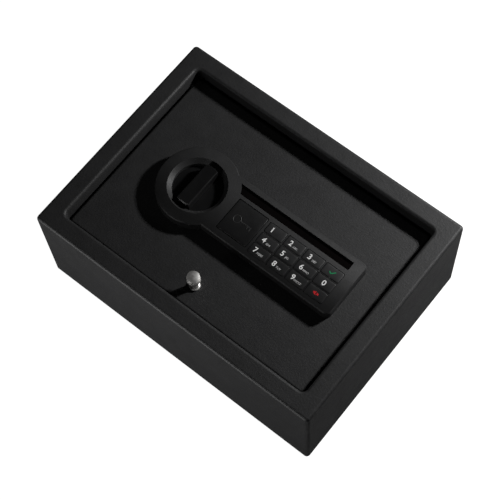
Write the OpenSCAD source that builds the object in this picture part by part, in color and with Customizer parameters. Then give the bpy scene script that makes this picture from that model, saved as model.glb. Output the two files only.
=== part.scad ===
// Compact steel safe with a recessed top lid and an electronic lock.
// Origin: centre of the base. +X runs along the long side, +Y to the hinges, +Z up.
// The lid is drawn shut with its bolts drawn back.

/* [Body] */
// Overall width of the steel body, along X
body_w = 298; // [294:1:400]
// Overall depth of the steel body, along Y
body_d = 219; // [217:1:300]
// Overall height of the steel body
body_h = 110; // [100:1:180]
// Thickness of the body's steel sheet
body_sheet = 2; // [1.5:0.1:2.5]
// Width of the flat rim, from the outer face to the opening
rim_w = 17.8; // [15:0.2:20]
// Outer radius of the rim's bends
body_bend = 3; // [2.6:0.1:3.4]
// Radius of the body's upright corners
body_corner = 3.6; // [3.6:0.1:5]
// Depth of the rim's outer fold, down to the weld on the walls
skirt_h = 6; // [4:0.5:10]
// Depth of the lip that is folded down around the opening
lip_h = 15; // [14.5:0.1:15.5]
// Radius of the opening's corners, seen from above
opening_r = 5; // [4:0.5:8]
// Thickness of the base plate
base_t = 2; // [1.5:0.5:4]
// Radius of each anchor hole through the base
anchor_r = 5; // [3:0.5:6]
// Distance between the anchor holes along X
anchor_dx = 200; // [100:5:240]
// Distance between the anchor holes along Y
anchor_dy = 140; // [80:5:170]
// Thickness of the foam mat on the floor
mat_t = 5; // [3:1:10]

/* [Lid] */
// Depth of the lid's top below the rim
lid_drop = 13; // [12.5:0.1:13.5]
// Gap between the lid and the lip, all round
lid_gap = 1.8; // [1.5:0.1:2.2]
// Thickness of the lid's steel sheet
lid_sheet = 2; // [1.5:0.1:2.2]
// Height of the lid's folded edges, from its top
lid_fold = 18; // [17:0.5:20]
// Outer radius of the lid's bends
lid_bend = 2.4; // [2.3:0.1:3]
// Radius of the lid's corners, seen from above
lid_corner = 3.2; // [3:0.1:4]

/* [Hinge] */
// Distance of the hinge axis in from the lid's rear edge
hinge_in = 7.9; // [7.5:0.1:8.5]
// Depth of the hinge axis below the lid's top
hinge_down = 6; // [5.5:0.1:6.2]
// Radius of each hinge pin
hinge_pin_r = 2.5; // [2:0.1:3]
// Thickness of each hinge bracket
bracket_t = 2; // [1.5:0.5:3]

/* [Pull knob] */
// Distance of the pull knob from the lid's front edge
pull_in = 19.9; // [18:0.1:22]
// Sideways place of the pull knob
pull_x = -3; // [-12:0.5:12]
// Height of the pull knob
pull_h = 21; // [15:1:24]
// Radius of the pull knob's head
pull_r = 6.1; // [6:0.1:8]

/* [Lock housing] */
// Height of the lock housing above the lid
lock_h = 10; // [10:0.5:14]
// Outer radius of the ring around the turn knob
ring_r = 37.7; // [37:0.1:39]
// Place of the ring's centre along X
knob_x = -58; // [-60:0.5:-57]
// Place of the ring's centre along Y
knob_y = 1.5; // [-1:0.5:3]
// Distance from the ring's centre to the end of the keypad arm
arm_len = 163.4; // [162:0.2:175]
// Width of the keypad arm
arm_w = 57.2; // [56.8:0.2:62]
// Shift of the arm's middle line from the ring's centre
arm_shift = 1.3; // [1:0.1:1.5]
// Radius of the arm's end corners
arm_corner = 5; // [3:0.5:7]
// Width of the small chamfer around the housing's top edge
lock_edge = 0.8; // [0.5:0.1:1.2]
// Thickness of the housing's walls and top
lock_wall = 2.5; // [2:0.1:3]

/* [Turn knob] */
// Radius of the well in the housing, at its top
well_top_r = 27; // [25:0.5:28]
// Radius of the well below its slope
well_r = 23; // [22:0.5:24]
// Height of the well's sloping part
well_slope = 4; // [2:0.5:5]
// Gap between the knob's disc and the well
knob_gap = 0.5; // [0.3:0.1:1]
// Thickness of the knob's disc
knob_disc_t = 1.8; // [1.5:0.1:3]
// Width of the knob's grip bar
grip_w = 13.3; // [10:0.1:16]
// Radius of the grip bar's round ends
grip_r = 21.2; // [18:0.1:21.4]
// Height of the grip bar's top above the housing
grip_over = 2; // [0:0.5:5]
// Radius of the knob's spindle
spindle_r = 4; // [3.5:0.1:4.5]
// Radius of the bush in the lid
bush_r = 6; // [5.5:0.1:7]
// Radius of the screw that holds the knob
knob_screw_r = 1.5; // [1.2:0.1:1.8]

/* [Keypad] */
// Distance between key middles along X
key_dx = 20.3; // [20:0.1:20.6]
// Distance between key middles along Y
key_dy = 11.7; // [11.5:0.1:11.8]
// Length of a key along X
key_w = 19; // [18:0.1:19.2]
// Width of a key along Y
key_d = 10.6; // [10:0.1:10.7]
// Height of the keys above the housing
key_over = 0.3; // [0.1:0.1:1]
// Travel of a key
key_travel = 1.2; // [0.6:0.1:1.3]
// Gap between a key and its hole
key_gap = 0.25; // [0.2:0.01:0.3]
// Distance from the ring's centre to the first column of keys
keys_from = 81.9; // [81.5:0.1:83]
// Radius of a key's corners
key_corner = 1.5; // [0.8:0.1:2.5]
// Thickness of the keypad's circuit board
board_t = 1.6; // [1:0.1:2]

/* [Status window] */
// Width of the window's slot
window_w = 8.6; // [7:0.1:9]
// Depth of the window's face below the housing's top
window_sink = 1.7; // [0.3:0.1:1.8]
// Distance from the ring's centre to the slot's round end
window_from = 38.5; // [38:0.1:40]
// Distance from the arm's end to the slot's square end
window_end = 11.6; // [10:0.1:20]

/* [Key lock] */
// Length of the key cover along X
cover_w = 31.7; // [26:0.1:32]
// Width of the key cover along Y
cover_d = 32.7; // [26:0.1:33]
// Gap around the key cover
cover_gap = 0.6; // [0.3:0.1:0.8]
// Thickness of the key cover
cover_t = 2.1; // [1.5:0.1:2.5]
// Radius of the key cylinder's body, which passes through the lid
cylinder_r = 8; // [7.5:0.1:8.2]
// Radius of the key plug
plug_r = 6; // [5:0.1:6.5]

/* [Bolts] */
// Radius of the locking bolts
bolt_r = 5; // [4:0.5:5]
// Distance between the locking bolts
bolt_dx = 140; // [120:2:150]
// Radius at which the crank's pin turns
crank_r = 10; // [8:0.5:10]
// Radius of the crank's pin
crank_pin_r = 2.5; // [2:0.1:2.6]
// Thickness of the bolt carriage's plate
carriage_t = 3; // [2:0.1:3]
// Radius of the guide studs' necks
stud_r = 3; // [2.5:0.1:3]

/* [Solenoid] */
// Radius of the solenoid's plunger
plunger_r = 2.5; // [2:0.1:2.6]
// Travel of the plunger
plunger_travel = 5; // [4:0.5:6]
// Length of the solenoid's frame
solenoid_len = 26; // [22:1:27]

/* [Power] */
// Radius of a battery cell
cell_r = 7.1; // [7:0.05:7.25]
// Length of a battery cell
cell_len = 50.4; // [49:0.1:51]
// Number of battery cells
cells = 4; // [4:1:4]
// Thickness of the inner cover's walls
inner_wall = 2; // [1.6:0.1:2.2]

/* [Hidden] */
$fn = 64;

run_fit = 0.05;            // radial clearance of a pin that turns or slides in its hole
clear = 0.4;               // clearance between pieces that only pass each other
over = 1;                  // how far a cutting solid runs past the face that it cuts

// Body
half_w = body_w / 2;
half_d = body_d / 2;
open_x = half_w - rim_w;
open_y = half_d - rim_w;
inner_x = half_w - body_sheet;
inner_y = half_d - body_sheet;
wall_h = body_h - skirt_h;
lip_bottom = body_h - lip_h;

// Lid
lid_x = open_x - lid_gap;
lid_y = open_y - lid_gap;
lid_top = body_h - lid_drop;
lid_under = lid_top - lid_sheet;
lid_bottom = lid_top - lid_fold;
fold_in = lid_y - lid_sheet;              // inner face of the lid's front and rear folds
hinge_y = lid_y - hinge_in;
hinge_z = lid_top - hinge_down;
hinge_collar_r = lip_bottom - clear - hinge_z;
pull_y = -lid_y + pull_in;
pull_screw_r = 2;
rest_t = 2;
rest_in = lid_sheet;                      // each rest reaches as far in as the lid's fold
rest_z = lid_bottom - 0.3;

// Lock housing
lock_top = lid_top + lock_h;
lock_ceiling = lock_top - lock_wall;
arm_y = knob_y + arm_shift;
arm_end = knob_x + arm_len;
arm_front = arm_y - arm_w / 2;
arm_rear = arm_y + arm_w / 2;
well_wall_r = well_top_r + 2;
boss_r = 3;
lock_screw_r = 1.4;
ring_screw_r = ring_r - lock_wall - 3.2;
ring_screw_angle = 120;
arm_screw_in = 6.2;
arm_screws = [
    [arm_end - arm_screw_in, arm_front + lock_wall + 3.6],
    [arm_end - arm_screw_in, arm_rear - lock_wall - 3.6]
];
ring_screws = [
    for (a = [-ring_screw_angle, ring_screw_angle])
        [knob_x + ring_screw_r * cos(a), knob_y + ring_screw_r * sin(a)]
];
lock_screw_places = concat(ring_screws, arm_screws);

// Turn knob
knob_disc_r = well_r - knob_gap;
knob_disc_z = lid_top + clear;
grip_top = lock_top + grip_over;
bush_flange_r = 9;
bush_flange_t = 1.2;
crank_t = 3.2;
crank_top = lid_under - bush_flange_t - 0.2;
crank_z = crank_top - crank_t;
knob_screw_head_r = knob_screw_r * 1.9;
knob_screw_head_t = 2;
spindle_top = lock_top - 1;

// Keypad
key_rim = 0.4;                            // overhang of the flange that keeps a key in
key_rim_t = 1.5;
key_top = lock_top + key_over;
board_z = lid_top + 1;
board_top = board_z + board_t;
dome_t = 0.4;
dome_r = 3;
key_z = board_top + dome_t + key_travel + 0.1;
keys_x = knob_x + keys_from;
keys_y = arm_y - 6.7;                     // middle row of keys
board_x0 = keys_x - key_w / 2 - 0.9;
board_x1 = keys_x + 3 * key_dx + key_w / 2 + 0.9;
board_y0 = arm_front + lock_wall + 0.8;
board_y1 = arm_rear - lock_wall - 0.9;
rib_w = 1.5;

// Status window
window_y = arm_y + 19.2;
window_x1 = arm_end - window_end;
window_rim = 0.8;
window_rim_t = 1.2;
window_gap = 0.15;
led_r = 1.5;
led_dx = 12;

// Key lock
cover_x = knob_x + 53.55;
cover_y = arm_y - 5.35;
cover_floor = lock_top - cover_t;
cover_floor_t = 2;
head_r = cylinder_r + 1.5;
head_z = cover_floor - 0.5;
cylinder_z = lid_top - 15;
nut_t = 4;
nut_r = 12.4;
plug_tail_r = 4;
plug_tail = 2.6;
cam_t = 2.2;
cam_len = 14;
slot_w = 1.4;
slot_l = 8.5;
slot_depth = 12;

// Bolts
bolt_z = lid_under - 6.5;
carriage_z = bolt_z - carriage_t / 2;
carriage_top = carriage_z + carriage_t;
bolt_travel = crank_r * sqrt(2);
bolt_tip = -lid_y + 1.4;
bar_front = -lid_y + 19.9;
bar_d = 26;
bar_rear = bar_front + bar_d;
bar_x = bolt_dx / 2 + 10;
lug_t = 2.5;
lug_w = 16;
lug_h = 11;
shank_r = 3;
rivet_r = 4.2;
rivet_t = 1.5;
arm_x0 = knob_x - 12;
arm_x1 = knob_x + 19;
carriage_rear = knob_y + 15.5;
crank_pin_x = knob_x + crank_r * cos(45);
crank_pin_y = knob_y + crank_r * sin(45);
crank_slack = 0.45;                       // lets a straight slot follow the pin's round path
crank_hub_r = 8;
stud_y = bar_front + stud_r + 3;
stud_places = [pull_x - 22, pull_x + 48];
stud_shoulder_r = 5;
washer_t = 1.2;
washer_r = 6.4;
nut5_r = 4.6;
nut5_t = 3.6;
stud_thread_r = 2.5;

// Solenoid
plunger_y = knob_y - 24.5;
plunger_tip = arm_x1 + clear;
plunger_len = 20;
solenoid_x0 = arm_x1 + 3;
solenoid_x1 = solenoid_x0 + solenoid_len;
solenoid_w = 14;
frame_t = 1.5;
coil_r = lid_under - frame_t - bolt_z - 0.1;
coil_bore = plunger_r + run_fit;
notch_depth = plunger_travel + 0.8;
notch_half = plunger_r + clear;
spring_wire = 0.35;
spring_turns = 7;

// Power, control and inner cover
inner_x0 = 108;
inner_y0 = -fold_in + 0.5;
inner_y1 = knob_y + 48.5;
inner_top = lid_under;
inner_h = 19;
inner_z = inner_top - inner_h;
cell_dx = 2 * cell_r + 0.8;
cells_x = knob_x + 118.5;
cells_y = knob_y - 2;
cell_z = inner_z + inner_wall + cell_r + 0.5;
contact_t = 0.5;
door_w = cells * cell_dx + 2;
door_d = cell_len + 10;
door_rim = 2.4;
door_gap = 0.3;
door_half_t = inner_wall / 2;
post_r = 4;
post_screw_r = 1.5;
post_x = inner_x0 - 8;
post_places = [
    for (x = [-post_x, post_x], y = [inner_y0 + 7, inner_y1 - 7]) [x, y]
];
pcb_w = 56;
pcb_d = 24;
pcb_x = knob_x + 55;
pcb_y = knob_y + 32;
pcb_z = lid_under - 5;
ribbon_w = 12;
ribbon_t = 1;
ribbon_x = board_x0 + 8;
ribbon_y = board_y1 - 6;

// ---------- Shared shapes ----------

// Half section of a block, from the axis to w, with its top edge rounded or chamfered by e
module edge_profile(w, z0, z1, e, chamfered) {
    if (chamfered) {
        polygon([[0, z0], [w, z0], [w, z1 - e], [w - e, z1], [0, z1]]);
    } else {
        translate([0, z0]) square([w, z1 - z0 - e]);
        translate([0, z0]) square([w - e, z1 - z0]);
        intersection() {
            translate([w - e, z1 - e]) circle(e);
            translate([0, z1 - e]) square([w, e]);
        }
    }
}

// Block of half size hx by hy with corners of radius r, and its top edge rounded or chamfered
module block(hx, hy, r, z0, z1, e, chamfered = false) {
    rotate([90, 0, 0]) linear_extrude(2 * (hy - r), center = true)
        for (side = [0, 1]) mirror([side, 0]) edge_profile(hx, z0, z1, e, chamfered);
    rotate([90, 0, 90]) linear_extrude(2 * (hx - r), center = true)
        for (side = [0, 1]) mirror([side, 0]) edge_profile(hy, z0, z1, e, chamfered);
    for (x = [-1, 1], y = [-1, 1])
        translate([x * (hx - r), y * (hy - r), 0])
            rotate_extrude() edge_profile(r, z0, z1, e, chamfered);
}

// Plain plate with round corners
module plate(x0, x1, y0, y1, z, t, r) {
    translate([0, 0, z]) linear_extrude(t) round_rect(x0, x1, y0, y1, r);
}

module round_rect(x0, x1, y0, y1, r) {
    translate([x0 + r, y0]) square([x1 - x0 - 2 * r, y1 - y0]);
    translate([x0, y0 + r]) square([x1 - x0, y1 - y0 - 2 * r]);
    for (x = [x0 + r, x1 - r], y = [y0 + r, y1 - r]) translate([x, y]) circle(r);
}

module bar(x0, x1, y0, y1, z0, z1) {
    translate([x0, y0, z0]) cube([x1 - x0, y1 - y0, z1 - z0]);
}

module post(x, y, z0, z1, r) {
    translate([x, y, z0]) cylinder(h = z1 - z0, r = r);
}

module hole(x, y, z0, z1, r) {
    post(x, y, z0 - over, z1 + over, r);
}

// Half section of the sheet at the opening: a lip, and a bend of outer radius e up to the rim
module lip_profile(w, z0, z1, t, e) {
    translate([w, z0]) square([t, z1 - e - z0]);
    intersection() {
        difference() {
            translate([w + e, z1 - e]) circle(e);
            translate([w + e, z1 - e]) circle(e - t);
        }
        translate([w, z1 - e]) square([e, e]);
    }
}

// The lip and its bend, all the way around an opening with round corners
module lip_ring(hx, hy, r, z0, z1, t, e) {
    rotate([90, 0, 0]) linear_extrude(2 * (hy - r), center = true)
        for (side = [0, 1]) mirror([side, 0]) lip_profile(hx, z0, z1, t, e);
    rotate([90, 0, 90]) linear_extrude(2 * (hx - r), center = true)
        for (side = [0, 1]) mirror([side, 0]) lip_profile(hy, z0, z1, t, e);
    for (i = [0 : 3])
        translate([(i == 0 || i == 3 ? 1 : -1) * (hx - r), (i < 2 ? 1 : -1) * (hy - r), 0])
            rotate([0, 0, 90 * i]) rotate_extrude(angle = 90) lip_profile(r, z0, z1, t, e);
}

// Round wire wound along +X from the origin
module coil_of_wire(r, wire, turns, length, steps = 16, sides = 8) {
    count = turns * steps;
    rings = [
        for (i = [0 : count], j = [0 : sides - 1])
            let (a = 360 * i / steps, b = 360 * j / sides, d = r + wire * cos(b))
                [length * i / count + wire * sin(b), d * cos(a), d * sin(a)]
    ];
    skin = [
        for (i = [0 : count - 1], j = [0 : sides - 1])
            let (k = (j + 1) % sides)
                [i * sides + j, i * sides + k, (i + 1) * sides + k, (i + 1) * sides + j]
    ];
    first = [for (j = [sides - 1 : -1 : 0]) j];
    last = [for (j = [0 : sides - 1]) count * sides + j];
    polyhedron(rings, concat(skin, [first], [last]));
}

// ---------- Body ----------

// Front and rear walls of sheet, bent at their ends to meet the side walls
module front_rear_walls() {
    color([0.06, 0.06, 0.065]) linear_extrude(wall_h) difference() {
        round_rect(-half_w, half_w, -half_d, half_d, body_corner);
        round_rect(-inner_x, inner_x, -inner_y, inner_y, body_corner - body_sheet);
        square([2 * body_w, 2 * (half_d - body_corner)], center = true);
    }
}

// Flat side walls, welded in between the bent ends of the front and rear walls
module side_walls() {
    color([0.06, 0.06, 0.065]) for (side = [0, 1]) mirror([side, 0, 0])
        bar(inner_x, half_w, body_corner - half_d, half_d - body_corner, 0, wall_h);
}

// Pressed frame welded on the walls: a flat rim, folded down outside and around the opening
module rim_frame() {
    cut_x = open_x + body_bend;
    cut_y = open_y + body_bend;
    color([0.06, 0.06, 0.065]) {
        difference() {
            block(half_w, half_d, body_corner, wall_h, body_h, body_bend);
            block(inner_x, inner_y, body_corner - body_sheet, wall_h - over,
                body_h - body_sheet, body_bend - body_sheet);
            plate(-cut_x, cut_x, -cut_y, cut_y, body_h - body_sheet - over,
                body_sheet + 2 * over, opening_r + body_bend);
        }
        lip_ring(open_x, open_y, opening_r, lip_bottom, body_h, body_sheet, body_bend);
    }
}

// Plate welded in between the walls, with four holes for anchor bolts
module base_plate() {
    color([0.07, 0.07, 0.075]) difference() {
        plate(-inner_x, inner_x, -inner_y, inner_y, 0, base_t, body_corner - body_sheet);
        for (x = [-1, 1], y = [-1, 1])
            hole(x * anchor_dx / 2, y * anchor_dy / 2, 0, base_t, anchor_r);
    }
}

// Foam sheet that lies on the base, cut out around the anchor bolts' heads
module floor_mat() {
    mat_in = 2;
    color([0.12, 0.12, 0.13]) difference() {
        plate(-inner_x + mat_in, inner_x - mat_in, -inner_y + mat_in, inner_y - mat_in,
            base_t, mat_t, 4);
        for (x = [-1, 1], y = [-1, 1])
            hole(x * anchor_dx / 2, y * anchor_dy / 2, base_t, base_t + mat_t, anchor_r + 5);
    }
}

// Plate spot-welded behind the lip at the left or right, with the bore for a hinge pin
module hinge_bracket(side) {
    x = open_x + body_sheet;
    color([0.3, 0.3, 0.31]) difference() {
        translate([side > 0 ? x : -x - bracket_t, hinge_y - 9, hinge_z - 7])
            cube([bracket_t, 18, body_h - body_sheet - 2 - hinge_z + 7]);
        translate([side * x, hinge_y, hinge_z]) rotate([0, 90, 0])
            cylinder(h = 4 * bracket_t, r = hinge_pin_r + run_fit, center = true);
    }
}

// Angles welded behind the front lip, which stop the lid flush
module lid_rests() {
    y = -open_y - body_sheet;
    color([0.3, 0.3, 0.31]) for (x = [-105, 105]) {
        bar(x - 8, x + 8, y - rest_t, y, rest_z - rest_t, body_h - body_sheet - 3);
        bar(x - 8, x + 8, y - rest_t, -lid_y + rest_in, rest_z - rest_t, rest_z);
    }
}

// ---------- Lid ----------

// Sheet tray turned upside down, with holes for the lock, the bolts and the hinge pins
module lid_panel() {
    color([0.06, 0.06, 0.065]) difference() {
        block(lid_x, lid_y, lid_corner, lid_bottom, lid_top, lid_bend);
        block(lid_x - lid_sheet, lid_y - lid_sheet, lid_corner - lid_sheet,
            lid_bottom - over, lid_under, lid_bend - lid_sheet);
        hole(knob_x, knob_y, lid_under, lid_top, bush_r + run_fit);
        hole(cover_x, cover_y, lid_under, lid_top, cylinder_r + run_fit);
        hole(pull_x, pull_y, lid_under, lid_top, pull_screw_r + run_fit);
        for (p = lock_screw_places)
            hole(p[0], p[1], lid_under, lid_top, lock_screw_r + run_fit);
        bar(ribbon_x - ribbon_w / 2 - 1, ribbon_x + ribbon_w / 2 + 1, ribbon_y - 2,
            ribbon_y + 2, lid_under - over, lid_top + over);
        for (side = [-1, 1]) {
            translate([side * bolt_dx / 2, -lid_y + lid_sheet / 2, bolt_z]) rotate([90, 0, 0])
                cylinder(h = 3 * lid_sheet, r = bolt_r + run_fit, center = true);
            translate([side * (lid_x - lid_sheet / 2), hinge_y, hinge_z]) rotate([0, 90, 0])
                cylinder(h = 3 * lid_sheet, r = hinge_pin_r, center = true);
        }
    }
}

// Shouldered pins riveted to the lid's side folds, which turn in the brackets
module hinge_pins() {
    color([0.6, 0.6, 0.62]) for (side = [0, 1]) mirror([side, 0, 0])
        translate([lid_x, hinge_y, hinge_z]) rotate([0, 90, 0]) {
            translate([0, 0, -lid_sheet]) cylinder(
                h = lid_sheet + lid_gap + body_sheet + bracket_t + 1.5, r = hinge_pin_r);
            cylinder(h = lid_gap + body_sheet - 0.3, r = hinge_collar_r);
            translate([0, 0, -lid_sheet - 1.2]) cylinder(h = 1.2, r = hinge_pin_r + 1.5);
        }
}

// Turned knob: flared foot, waist, and a domed head with a groove around its rim
module pull_knob() {
    head_h = 8.5;
    foot_r = pull_r - 1;
    waist_r = pull_screw_r + 1.2;
    foot_t = 2;
    groove = 0.5;
    color([0.8, 0.8, 0.82]) translate([pull_x, pull_y, lid_top]) difference() {
        rotate_extrude() difference() {
            union() {
                square([foot_r, foot_t]);
                square([waist_r, pull_h - 2]);
                difference() {
                    translate([0, foot_t]) square([foot_r, foot_r - waist_r]);
                    translate([foot_r, foot_t + foot_r - waist_r]) circle(foot_r - waist_r);
                }
                translate([0, pull_h - head_h]) square([pull_r - 1.2, head_h - 1.2]);
                translate([0, pull_h - head_h + 1.2]) square([pull_r, head_h - 3.7]);
                translate([pull_r - 1.2, pull_h - head_h + 1.2]) circle(1.2);
                intersection() {
                    translate([0, pull_h - 3 * pull_r]) circle(3 * pull_r);
                    translate([0, pull_h - 2.5]) square([pull_r - 0.6, 2.5]);
                }
            }
            translate([pull_r, pull_h - 4.4]) circle(groove);
            translate([-2 * pull_r, -over]) square([2 * pull_r, pull_h + 2 * over]);
        }
        translate([0, 0, -over]) cylinder(h = 9 + over, r = pull_screw_r);
    }
}

// Screw from below the lid into the pull knob
module pull_knob_screw() {
    color([0.6, 0.6, 0.62]) {
        post(pull_x, pull_y, lid_under - 2, lid_top + 8, pull_screw_r);
        post(pull_x, pull_y, lid_under - 2.4, lid_under, pull_screw_r + 1.6);
    }
}

// ---------- Lock housing ----------

// Outline of the ring and the keypad arm, drawn in by an inset, with the top edge chamfered
module lock_body(inset, z0, z1, e) {
    post(knob_x, knob_y, z0, z1 - e, ring_r - inset);
    translate([knob_x, knob_y, z1 - e])
        cylinder(h = e, r1 = ring_r - inset, r2 = ring_r - inset - e);
    translate([(knob_x + arm_end) / 2, arm_y, 0])
        block((arm_end - knob_x) / 2 - inset, arm_w / 2 - inset, arm_corner - inset,
            z0, z1, e, true);
}

module window_shape(inset) {
    difference() {
        translate([knob_x, window_y - window_w / 2 + inset])
            square([window_x1 - knob_x - inset, window_w - 2 * inset]);
        translate([knob_x, knob_y]) circle(window_from + inset);
    }
}

// Moulded cover with the knob's well, the key pocket, the status slot and the key holes
module lock_housing() {
    color([0.05, 0.05, 0.055]) difference() {
        union() {
            difference() {
                lock_body(0, lid_top, lock_top, lock_edge);
                lock_body(lock_wall, lid_top - over, lock_ceiling, 0.01);
            }
            intersection() {
                lock_body(lock_wall / 2, lid_top, lock_ceiling + 0.5, 0.01);
                union() {
                    post(knob_x, knob_y, lid_top, lock_ceiling + 1, well_wall_r);
                    for (p = lock_screw_places)
                        post(p[0], p[1], lid_top, lock_ceiling + 1, boss_r);
                    bar(cover_x - cover_w / 2 - 3, cover_x + cover_w / 2 + 3,
                        arm_front, cover_y + cover_d / 2 + 3,
                        cover_floor - cover_floor_t, lock_ceiling + 1);
                    bar(board_x0, board_x1, arm_front, arm_front + lock_wall + rib_w,
                        board_top, lock_ceiling + 1);
                    bar(board_x0, board_x1, arm_rear - lock_wall - rib_w, arm_rear,
                        board_top, lock_ceiling + 1);
                }
            }
        }
        hole(knob_x, knob_y, lid_top, lock_top, well_r);
        translate([knob_x, knob_y, lock_top - well_slope])
            cylinder(h = well_slope, r1 = well_r, r2 = well_top_r);
        plate(cover_x - cover_w / 2 - cover_gap, cover_x + cover_w / 2 + cover_gap,
            cover_y - cover_d / 2 - cover_gap, cover_y + cover_d / 2 + cover_gap,
            cover_floor, cover_t + over, 1.2);
        hole(cover_x, cover_y, cover_floor - cover_floor_t, cover_floor, head_r + clear);
        translate([0, 0, lock_ceiling - over]) linear_extrude(lock_wall + 2 * over)
            window_shape(0);
        for (i = [0 : 3], j = [-1 : 1])
            key_plate(i, j, key_gap, lock_ceiling - over, lock_top + over);
        for (p = lock_screw_places)
            post(p[0], p[1], lid_top - over, lid_top + 6.5, lock_screw_r);
    }
}

// Screws from below the lid into the housing's bosses
module lock_screws() {
    color([0.55, 0.55, 0.57]) for (p = lock_screw_places) {
        post(p[0], p[1], lid_under - 1, lid_top + 6, lock_screw_r);
        post(p[0], p[1], lid_under - 1.6, lid_under, lock_screw_r + 1.4);
    }
}

// Smoked strip in the slot, held by a flange below the housing's top
module led_window() {
    color([0.02, 0.015, 0.015]) {
        translate([0, 0, lock_ceiling - 0.5])
            linear_extrude(lock_wall - window_sink + 0.5) window_shape(window_gap);
        translate([0, 0, lock_ceiling - window_rim_t])
            linear_extrude(window_rim_t) window_shape(-window_rim);
    }
}

// Three round lamps on the keypad board, under the window
module status_leds() {
    color([0.75, 0.1, 0.08]) for (i = [0 : 2])
        translate([window_x1 - 10 - i * led_dx, window_y, board_top]) rotate_extrude() {
            square([led_r, lock_ceiling - window_rim_t - board_top - led_r - 0.3]);
            intersection() {
                translate([0, lock_ceiling - window_rim_t - board_top - led_r - 0.3])
                    circle(led_r);
                square([led_r, lock_h]);
            }
        }
}

// ---------- Keypad ----------

// Prism of a key's outline, at column i and row j, grown by a margin
module key_plate(i, j, grow, z0, z1) {
    x = keys_x + i * key_dx;
    y = keys_y - j * key_dy;
    plate(x - key_w / 2 - grow, x + key_w / 2 + grow, y - key_d / 2 - grow,
        y + key_d / 2 + grow, z0, z1 - z0, key_corner);
}

// Key cap with a flange below the housing's top
module key_cap(i, j) {
    color([0.07, 0.07, 0.075]) {
        key_plate(i, j, 0, key_z, key_top);
        key_plate(i, j, key_rim, key_z, key_z + key_rim_t);
    }
}

// Circuit board below the keys and the status window
module keypad_board() {
    color([0.05, 0.22, 0.1])
        plate(board_x0, board_x1, board_y0, board_y1, board_z, board_t, 1);
}

// Snap domes under the keys
module contact_domes() {
    color([0.8, 0.75, 0.6]) for (i = [0 : 3], j = [-1 : 1])
        post(keys_x + i * key_dx, keys_y - j * key_dy, board_top, board_top + dome_t, dome_r);
}

// Flat ribbon from the keypad board through the lid to the control board
module keypad_ribbon() {
    color([0.5, 0.5, 0.52])
        bar(ribbon_x - ribbon_w / 2, ribbon_x + ribbon_w / 2, ribbon_y - ribbon_t / 2,
            ribbon_y + ribbon_t / 2, pcb_z + board_t, board_z);
}

// ---------- Key lock ----------

// Plate that hides the keyhole and lifts off
module key_cover() {
    color([0.05, 0.05, 0.055])
        plate(cover_x - cover_w / 2, cover_x + cover_w / 2, cover_y - cover_d / 2,
            cover_y + cover_d / 2, cover_floor, cover_t, 1);
}

// Threaded body with a round head, through the lid
module key_cylinder() {
    color([0.65, 0.65, 0.67]) difference() {
        union() {
            post(cover_x, cover_y, cylinder_z, lid_top, cylinder_r);
            post(cover_x, cover_y, lid_top, head_z, head_r);
        }
        hole(cover_x, cover_y, cylinder_z, head_z, plug_r + run_fit);
    }
}

module cylinder_nut() {
    color([0.55, 0.55, 0.57]) difference() {
        translate([cover_x, cover_y, lid_under - nut_t]) cylinder(h = nut_t, r = nut_r, $fn = 6);
        hole(cover_x, cover_y, lid_under - nut_t, lid_under, cylinder_r + run_fit);
    }
}

// Plug with the key slot, and a thin tail that carries the cam
module key_plug() {
    color([0.7, 0.62, 0.35]) difference() {
        union() {
            post(cover_x, cover_y, cylinder_z, head_z, plug_r);
            post(cover_x, cover_y, cylinder_z - plug_tail, cylinder_z, plug_tail_r);
        }
        bar(cover_x - slot_w / 2, cover_x + slot_w / 2, cover_y - slot_l / 2,
            cover_y + slot_l / 2, head_z - slot_depth, head_z + over);
    }
}

// Lever on the plug's tail
module release_cam() {
    z = cylinder_z - 0.2 - cam_t;
    color([0.6, 0.6, 0.62]) difference() {
        union() {
            post(cover_x, cover_y, z, z + cam_t, plug_tail_r + 3);
            bar(cover_x - 4, cover_x + 4, cover_y, cover_y + cam_len, z, z + cam_t);
        }
        hole(cover_x, cover_y, z, z + cam_t, plug_tail_r);
    }
}

// ---------- Turn knob and bolt work ----------

// Disc with a raised grip bar across it, and a hub that takes the spindle
module turn_knob() {
    color([0.05, 0.05, 0.055]) difference() {
        union() {
            post(knob_x, knob_y, knob_disc_z, knob_disc_z + knob_disc_t, knob_disc_r);
            intersection() {
                translate([knob_x, knob_y, knob_disc_z])
                    cylinder(h = grip_top - knob_disc_z - lock_edge, r = grip_r);
                bar(knob_x - grip_w / 2, knob_x + grip_w / 2, knob_y - grip_r - over,
                    knob_y + grip_r + over, knob_disc_z, grip_top);
            }
            intersection() {
                translate([knob_x, knob_y, grip_top - lock_edge - 0.01])
                    cylinder(h = lock_edge + 0.01, r1 = grip_r + 0.01, r2 = grip_r - lock_edge);
                translate([knob_x, knob_y + 2 * grip_r, 0]) rotate([90, 0, 0])
                    linear_extrude(4 * grip_r) polygon([
                        [-grip_w / 2, knob_disc_z], [grip_w / 2, knob_disc_z],
                        [grip_w / 2, grip_top - lock_edge],
                        [grip_w / 2 - lock_edge, grip_top],
                        [-grip_w / 2 + lock_edge, grip_top],
                        [-grip_w / 2, grip_top - lock_edge]
                    ]);
            }
        }
        post(knob_x, knob_y, lid_top - over, spindle_top, spindle_r);
    }
}

// Steel spindle, bored for the screw that holds the knob
module knob_spindle() {
    color([0.6, 0.6, 0.62]) difference() {
        post(knob_x, knob_y, crank_z, spindle_top, spindle_r);
        hole(knob_x, knob_y, crank_z, spindle_top, knob_screw_r);
        post(knob_x, knob_y, crank_z - over, crank_z + knob_screw_head_t, knob_screw_head_r);
    }
}

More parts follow.
